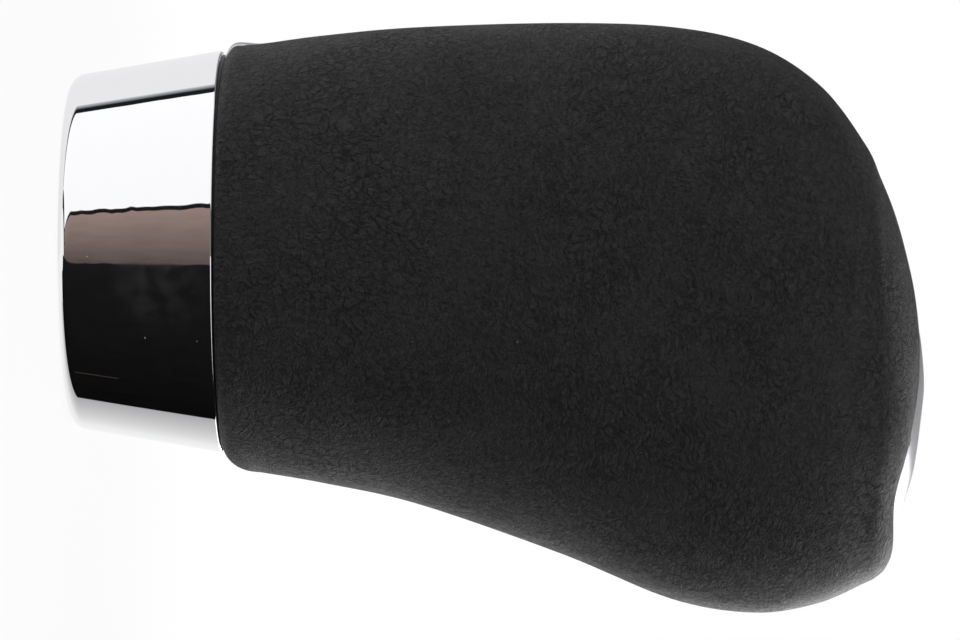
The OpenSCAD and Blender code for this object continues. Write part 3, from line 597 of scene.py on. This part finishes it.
# Painted shade: the specular level is lowered in the grain's hollows and along the crease lines,
# standing in for the shade in them.
fine = add(leather, "Math", {0: lumps, 1: pores}, operation="ADD")[0]
relief = add(leather, "MapRange", {0: fine, 1: 0.7, 2: 1.3})[0]
relief = add(leather, "Math", {0: lines, 1: -0.22, 2: relief}, operation="MULTIPLY_ADD")[0]
specular_level_and_hollow_shade = add(leather, "MapRange", {0: relief, 3: 0.2, 4: 0.74})[0]
speck = add(leather, "TexVoronoi", {"Vector": leather_mm, "Scale": 0.16})["Distance"]
speck = add(leather, "MapRange", {0: speck, 1: 0.010, 2: 0.022, 3: 1.0, 4: 0.0})[0]
dye_and_crease_shade = blended(leather, speck, dye_and_crease_shade, (0.22, 0.21, 0.20))
worn = add(leather, "MapRange", {0: cloud, 3: 0.57, 4: 0.52})[0]
polish = add(leather, "Math", {0: lines, 1: 0.12, 2: worn}, operation="MULTIPLY_ADD")[0]
leather_face = add(
    leather, "BsdfPrincipled",
    {
        "Base Color": dye_and_crease_shade, "Roughness": polish, "IOR": 1.45, "Specular IOR Level": specular_level_and_hollow_shade,
        "Normal": grain_bump,
    },
)[0]
add(leather, "OutputMaterial", {"Surface": leather_face})
leather_piece = add_mesh("leather", leather_bm, leather)
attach(leather_piece, "knob")
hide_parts("leather_cover")

# Spine strip: a satin metal moulding let into the leather up the back and over the head, with a
# lip at its foot, a low dome over the toe end and a round tip drawn down behind the toe.
STRIP_GAP = 0.1
STRIP_EDGE_R = 0.2
FOOT_LIFT = ((0, 0), (0.4, 0.25), (1.1, 0.6), (2, 0.1), (3, -0.2), (8, -0.4))
FOOT_ROUND_OFF = 0.35
TIP_LIFT = ((0, -0.2), (3.5, 0.8), (7, 1.05), (12.5, 0.5), (16.5, 0.15), (23, -0.4))
TIP_ROUND_OFF = 2.2


def looked_up(value, table, round_off):
    """Reading of a table of pairs, with the corners between its straight parts rounded off."""
    total = 0.0
    steps = 3
    for step in range(-steps, steps + 1):
        near = value + step / steps * round_off
        for (x0, y0), (x1, y1) in zip(table, table[1:]):
            if near <= x1:
                break
        total += y0 + (y1 - y0) * (min(max(near, x0), x1) - x0) / (x1 - x0)
    return total / (2 * steps + 1)


def strip_rise(point):
    """How far the strip's face stands over the form: most on the middle line where it is proud."""
    if point.z < STRIP_FULL_Z:
        lift = looked_up(point.z - GRIP_BASE, FOOT_LIFT, FOOT_ROUND_OFF)
    else:
        lift = looked_up(STRIP_TIP_X - point.x, TIP_LIFT, TIP_ROUND_OFF)
    past = max(0.0, point.x - STRIP_TIP_X + STRIP_TOP_W)
    half = math.sqrt(max(0.01, STRIP_TOP_W ** 2 - past ** 2))
    share = min(1, abs(point.y) / half)
    return (lift * (1 - share * share) if lift > 0 else lift) + hollow(point) * share * share


strip_bm = wrapped(GRID_COLUMNS, GRID_ROWS, strip_rise)
kept = set(strip_faces(strip_bm, STRIP_GAP + STRIP_EDGE_R))
bmesh.ops.delete(strip_bm, geom=[face for face in strip_bm.faces if face not in kept], context="FACES")
strip_rim = [edge for edge in strip_bm.edges if edge.is_boundary]
tuck_edge(
    strip_bm, strip_rim, lambda co: -towards_strip(co), STRIP_EDGE_R * MM, LEATHER_T * MM, steps=4
)

satin = empty_material("satin_strip_metal")
satin_mm = millimetres(satin)
brushed_place = add(satin, "VectorMath", {0: satin_mm, 1: (0.35, 9.0, 0.35)}, operation="MULTIPLY")[0]
brushed = add(satin, "TexNoise", {"Vector": brushed_place, "Scale": 1.6, "Detail": 4.0})[0]
hazy = add(satin, "TexNoise", {"Vector": satin_mm, "Scale": 0.12, "Detail": 3.0})[0]
satin_rough = add(satin, "MapRange", {0: hazy, 1: 0.3, 2: 0.7, 3: 0.24, 4: 0.33})[0]
satin_rough = add(satin, "Math", {0: brushed, 1: 0.06, 2: satin_rough}, operation="MULTIPLY_ADD")[0]
satin_tone = blended(satin, brushed, (0.55, 0.555, 0.565), (0.66, 0.665, 0.675))
satin_bump = add(satin, "Bump", {"Strength": 0.12, "Distance": 0.01 * MM, "Height": brushed})[0]
satin_face = add(
    satin, "BsdfPrincipled",
    {
        "Base Color": satin_tone, "Metallic": 1.0, "Roughness": satin_rough, "Normal": satin_bump,
        "Specular Tint": (0.5, 0.5, 0.52, 1),
    },
)[0]
add(satin, "OutputMaterial", {"Surface": satin_face})
strip_piece = add_mesh("strip", strip_bm, satin)
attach(strip_piece, "knob")
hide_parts("spine_strip")

# Chrome collar: a turned and polished cup below the leather, slightly wider at the top, with a
# rounded lower edge and a wide opening in its base. Handling has left a faint smear and lint.
COLLAR_H = 15.9
COLLAR_BASE_R = 18.4
COLLAR_TOP_R = 21.05
COLLAR_WALL = 1.4
COLLAR_EDGE_R = 1.8
COLLAR_OPEN_R = 13.0
COLLAR_FLOOR_SLOPE = 0.6
RIM_R = 0.25


def spun(name, outline, material, turns=160):
    """Turns a closed outline of (radius, height) points in mm round the lever's axis."""
    bm = bmesh.new()
    verts = [bm.verts.new((r * MM, 0, z * MM)) for r, z in outline]
    edges = [bm.edges.new(pair) for pair in zip(verts, verts[1:] + verts[:1])]
    bmesh.ops.spin(
        bm, geom=verts + edges, cent=(0, 0, 0), axis=(0, 0, 1), angle=math.tau, steps=turns,
        use_merge=True, use_duplicate=False,
    )
    bmesh.ops.remove_doubles(bm, verts=bm.verts, dist=1e-6)
    bmesh.ops.recalc_face_normals(bm, faces=bm.faces)
    return add_mesh(name, bm, material)


def arc(center_r, center_z, radius, start, end, steps):
    """Points along part of a circle in the outline's plane, angles in degrees."""
    return [
        (
            center_r + radius * math.cos(math.radians(start + (end - start) * i / steps)),
            center_z + radius * math.sin(math.radians(start + (end - start) * i / steps)),
        )
        for i in range(steps + 1)
    ]


lean = math.degrees(math.atan2(COLLAR_TOP_R - COLLAR_BASE_R, COLLAR_H))
lean_turn = math.radians(lean)
corner_r = COLLAR_BASE_R - COLLAR_EDGE_R * (1 / math.cos(lean_turn) - math.tan(lean_turn))
outline = arc(COLLAR_OPEN_R + RIM_R, RIM_R, RIM_R, 180, 270, 4)
outline += arc(corner_r, COLLAR_EDGE_R, COLLAR_EDGE_R, -90, -lean, 14)
outline += arc(COLLAR_TOP_R - RIM_R, COLLAR_H - RIM_R, RIM_R, -lean, 90, 5)
outline += arc(COLLAR_TOP_R - COLLAR_WALL + RIM_R, COLLAR_H - RIM_R, RIM_R, 90, 180, 4)
inner_low_r = COLLAR_BASE_R + (COLLAR_TOP_R - COLLAR_BASE_R) * COLLAR_EDGE_R / COLLAR_H - COLLAR_WALL
outline += [(inner_low_r, COLLAR_EDGE_R), (inner_low_r - COLLAR_FLOOR_SLOPE, COLLAR_WALL)]
outline += [(COLLAR_OPEN_R, COLLAR_WALL)]

chrome = empty_material("polished_chrome")
chrome_mm = millimetres(chrome)
smear = add(chrome, "TexNoise", {"Vector": chrome_mm, "Scale": 0.5, "Detail": 5.0, "Roughness": 0.7})[0]
smear = add(chrome, "MapRange", {0: smear, 1: 0.42, 2: 0.72})[0]
held = add(chrome, "VectorMath", {0: chrome_mm, 1: (3.5, -20.0, 10.5)}, operation="DISTANCE")["Value"]
held = add(
    chrome, "MapRange", {0: held, 1: 1.5, 2: 6.0, 3: 0.8, 4: 0.05}, interpolation_type="SMOOTHSTEP"
)[0]
smear = add(chrome, "Math", {0: smear, 1: held}, operation="MULTIPLY")[0]
lint = add(chrome, "TexVoronoi", {"Vector": chrome_mm, "Scale": 0.35})["Distance"]
lint = add(chrome, "MapRange", {0: lint, 1: 0.012, 2: 0.03, 3: 1.0, 4: 0.0})[0]
dulled = add(chrome, "Math", {0: smear, 1: lint}, operation="MAXIMUM")[0]
chrome_rough = add(chrome, "MapRange", {0: dulled, 3: 0.025, 4: 0.17})[0]
chrome_tone = blended(chrome, dulled, (0.87, 0.87, 0.88), (0.80, 0.79, 0.79))
chrome_tone = blended(chrome, lint, chrome_tone, (0.45, 0.44, 0.42))
bare = add(chrome, "Math", {0: smear, 1: -0.05, 2: 1.0}, operation="MULTIPLY_ADD")[0]
bare = add(chrome, "Math", {0: bare, 1: lint}, operation="SUBTRACT", use_clamp=True)[0]
chrome_wave = add(chrome, "TexNoise", {"Vector": chrome_mm, "Scale": 0.1, "Detail": 1.0})[0]
chrome_bump = add(chrome, "Bump", {"Strength": 0.15, "Distance": 0.05 * MM, "Height": chrome_wave})[0]
chrome_face = add(
    chrome, "BsdfPrincipled",
    {"Base Color": chrome_tone, "Metallic": bare, "Roughness": chrome_rough, "Normal": chrome_bump},
)[0]
add(chrome, "OutputMaterial", {"Surface": chrome_face})
collar_piece = spun("collar", outline, chrome)
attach(collar_piece, "knob")
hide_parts("chrome_collar")

# Thumb button: a domed satin black cap in a bezel let into the leather on the far side. Both are
# moulded, with rounded edges, and spark-eroded to a fine even texture.
BUTTON_GAP = 0.25
DOME_R = 42.0
CAP_PROUD = 3.5
FACE_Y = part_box("button_cap")[1][1] / MM - CAP_PROUD
BEZEL_PROUD = 0.6
CAP_EDGE_R = 0.6
CAP_DEPTH = 6.5
BEZEL_EDGE_R = 0.35
BEZEL_DEPTH = 3.2
PLATE_LENGTH = 30
PLATE_HEIGHT = 20


def eroded(name, low, high, rough, fineness, depth):
    """Moulded plastic or rubber with a fine even texture from the tool and a little mottling."""
    material = empty_material(name)
    place = millimetres(material)
    texture = add(material, "TexNoise", {"Vector": place, "Scale": fineness, "Detail": 3.0})[0]
    mottle = add(material, "TexNoise", {"Vector": place, "Scale": 0.25, "Detail": 2.0})[0]
    tone = blended(material, mottle, low, high)
    sheen = add(material, "MapRange", {0: mottle, 1: 0.3, 2: 0.7, 3: rough - 0.04, 4: rough + 0.05})[0]
    bump = add(material, "Bump", {"Strength": 0.4, "Distance": depth * MM, "Height": texture})[0]
    face = add(material, "BsdfPrincipled", {"Base Color": tone, "Roughness": sheen, "Normal": bump})[0]
    add(material, "OutputMaterial", {"Surface": face})
    return material


def flat_plate():
    """A grid across the button's axis, from which the cap and the bezel are cut."""
    bm = bmesh.new()
    bmesh.ops.create_grid(bm, x_segments=72, y_segments=52, size=0.5)
    bmesh.ops.scale(bm, vec=(PLATE_LENGTH * MM, PLATE_HEIGHT * MM, 1), verts=bm.verts)
    upright = Matrix.Rotation(math.radians(90), 3, "X")
    bmesh.ops.rotate(bm, cent=(0, 0, 0), matrix=upright, verts=bm.verts)
    bmesh.ops.translate(bm, vec=(0, 0, BUTTON_Z * MM), verts=bm.verts)
    return bm


def domed(bm, proud):
    """Raises each point of the plate onto the ball and turns the faces outwards."""
    for vert in bm.verts:
        x, z = vert.co.x / MM, vert.co.z / MM - BUTTON_Z
        vert.co.y = (FACE_Y + proud - DOME_R + math.sqrt(DOME_R ** 2 - x * x - z * z)) * MM
    bm.normal_update()
    if sum(face.normal.y for face in bm.faces) < 0:
        bmesh.ops.reverse_faces(bm, faces=bm.faces)


button_black = eroded("button_black", (0.012, 0.012, 0.0125), (0.018, 0.018, 0.0185), 0.34, 7.0, 0.012)
bezel_black = eroded("bezel_black", (0.010, 0.010, 0.0105), (0.015, 0.015, 0.0155), 0.42, 5.0, 0.015)
cap_bm = flat_plate()
kept = set(bar_faces(cap_bm, list(cap_bm.faces), -CAP_EDGE_R))
bmesh.ops.delete(cap_bm, geom=[face for face in cap_bm.faces if face not in kept], context="FACES")
domed(cap_bm, CAP_PROUD)
cap_rim = [edge for edge in cap_bm.edges if edge.is_boundary]
outwards = Vector((0, 1, 0))
tuck_edge(
    cap_bm, cap_rim, lambda co: -towards_button(co), CAP_EDGE_R * MM, CAP_DEPTH * MM, out=outwards
)
cap_piece = add_mesh("thumb_button", cap_bm, button_black)
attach(cap_piece, "button")
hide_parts("button_cap")

bezel_bm = flat_plate()
kept = set(bar_faces(bezel_bm, list(bezel_bm.faces), BEZEL_GROW - BEZEL_EDGE_R))
bmesh.ops.delete(bezel_bm, geom=[face for face in bezel_bm.faces if face not in kept], context="FACES")
doomed = bar_faces(bezel_bm, list(bezel_bm.faces), BUTTON_GAP + BEZEL_EDGE_R)
bmesh.ops.delete(bezel_bm, geom=doomed, context="FACES")
domed(bezel_bm, BEZEL_PROUD)
outer_rim = []
inner_rim = []
half_bar = (BUTTON_LEN - BUTTON_H) / 2 * MM
for edge in [edge for edge in bezel_bm.edges if edge.is_boundary]:
    middle = (edge.verts[0].co + edge.verts[1].co) / 2
    past = middle.x - min(max(middle.x, -half_bar), half_bar)
    away = Vector((past, middle.z - BUTTON_Z * MM)).length
    (outer_rim if away > (BUTTON_H / 2 + BEZEL_GROW / 2) * MM else inner_rim).append(edge)
for rim, across in ((outer_rim, lambda co: -towards_button(co)), (inner_rim, towards_button)):
    tuck_edge(bezel_bm, rim, across, BEZEL_EDGE_R * MM, BEZEL_DEPTH * MM, steps=4, out=outwards)
bezel_piece = add_mesh("button_surround", bezel_bm, bezel_black)
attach(bezel_piece, "knob")
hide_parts("button_bezel")

# Inner pieces: moulded and turned parts that show from below and through the gaps, each in the
# finish that its making leaves.
filled_plastic = eroded(
    "filled_black_plastic", (0.011, 0.011, 0.012), (0.019, 0.019, 0.020), 0.5, 3.0, 0.03
)
acetal = eroded("ivory_acetal", (0.56, 0.54, 0.47), (0.62, 0.60, 0.54), 0.38, 4.0, 0.01)
bumper_rubber = eroded("bumper_rubber", (0.008, 0.008, 0.008), (0.013, 0.013, 0.013), 0.72, 6.0, 0.02)


def turned(name, low, high, rough, pitch):
    """Turned steel: fine rings left by the tool, at a pitch in mm, and a little staining."""
    material = empty_material(name)
    place = millimetres(material)
    rings_cut = add(
        material, "TexWave", {"Vector": place, "Scale": 0.3 / pitch, "Distortion": 0.6, "Detail": 2.0},
        wave_type="BANDS", bands_direction="Z",
    )[1]
    stain = add(material, "TexNoise", {"Vector": place, "Scale": 0.3, "Detail": 4.0})[0]
    tone = blended(material, stain, low, high)
    sheen = add(material, "MapRange", {0: stain, 1: 0.3, 2: 0.7, 3: rough - 0.05, 4: rough + 0.08})[0]
    bump = add(material, "Bump", {"Strength": 0.3, "Distance": 0.02 * MM, "Height": rings_cut})[0]
    face = add(
        material, "BsdfPrincipled",
        {"Base Color": tone, "Metallic": 1.0, "Roughness": sheen, "Normal": bump},
    )[0]
    add(material, "OutputMaterial", {"Surface": face})
    return material


socket_steel = turned("turned_socket_steel", (0.42, 0.43, 0.45), (0.53, 0.54, 0.55), 0.32, 0.25)
spring_steel = turned("spring_steel", (0.24, 0.245, 0.26), (0.33, 0.335, 0.34), 0.3, 0.6)
screw_black = turned("blackened_screw_steel", (0.035, 0.035, 0.038), (0.06, 0.06, 0.062), 0.38, 0.2)
FINISHES = {
    filled_plastic: ("hem_ring", "collar_carrier", "core_left", "core_right"),
    bumper_rubber: ("button_bumper",),
    acetal: ("button_slider", "plunger", "plunger_bush"),
    socket_steel: ("lever_socket", "button_pin", "push_pin", "spring_washer"),
    spring_steel: ("retaining_ring", "return_spring", "strip_push_nuts"),
    screw_black: ("lock_screws", "core_screws"),
}
for finish, names in FINISHES.items():
    for name in names:
        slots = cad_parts[name].data.materials
        slots.clear()
        slots.append(finish)
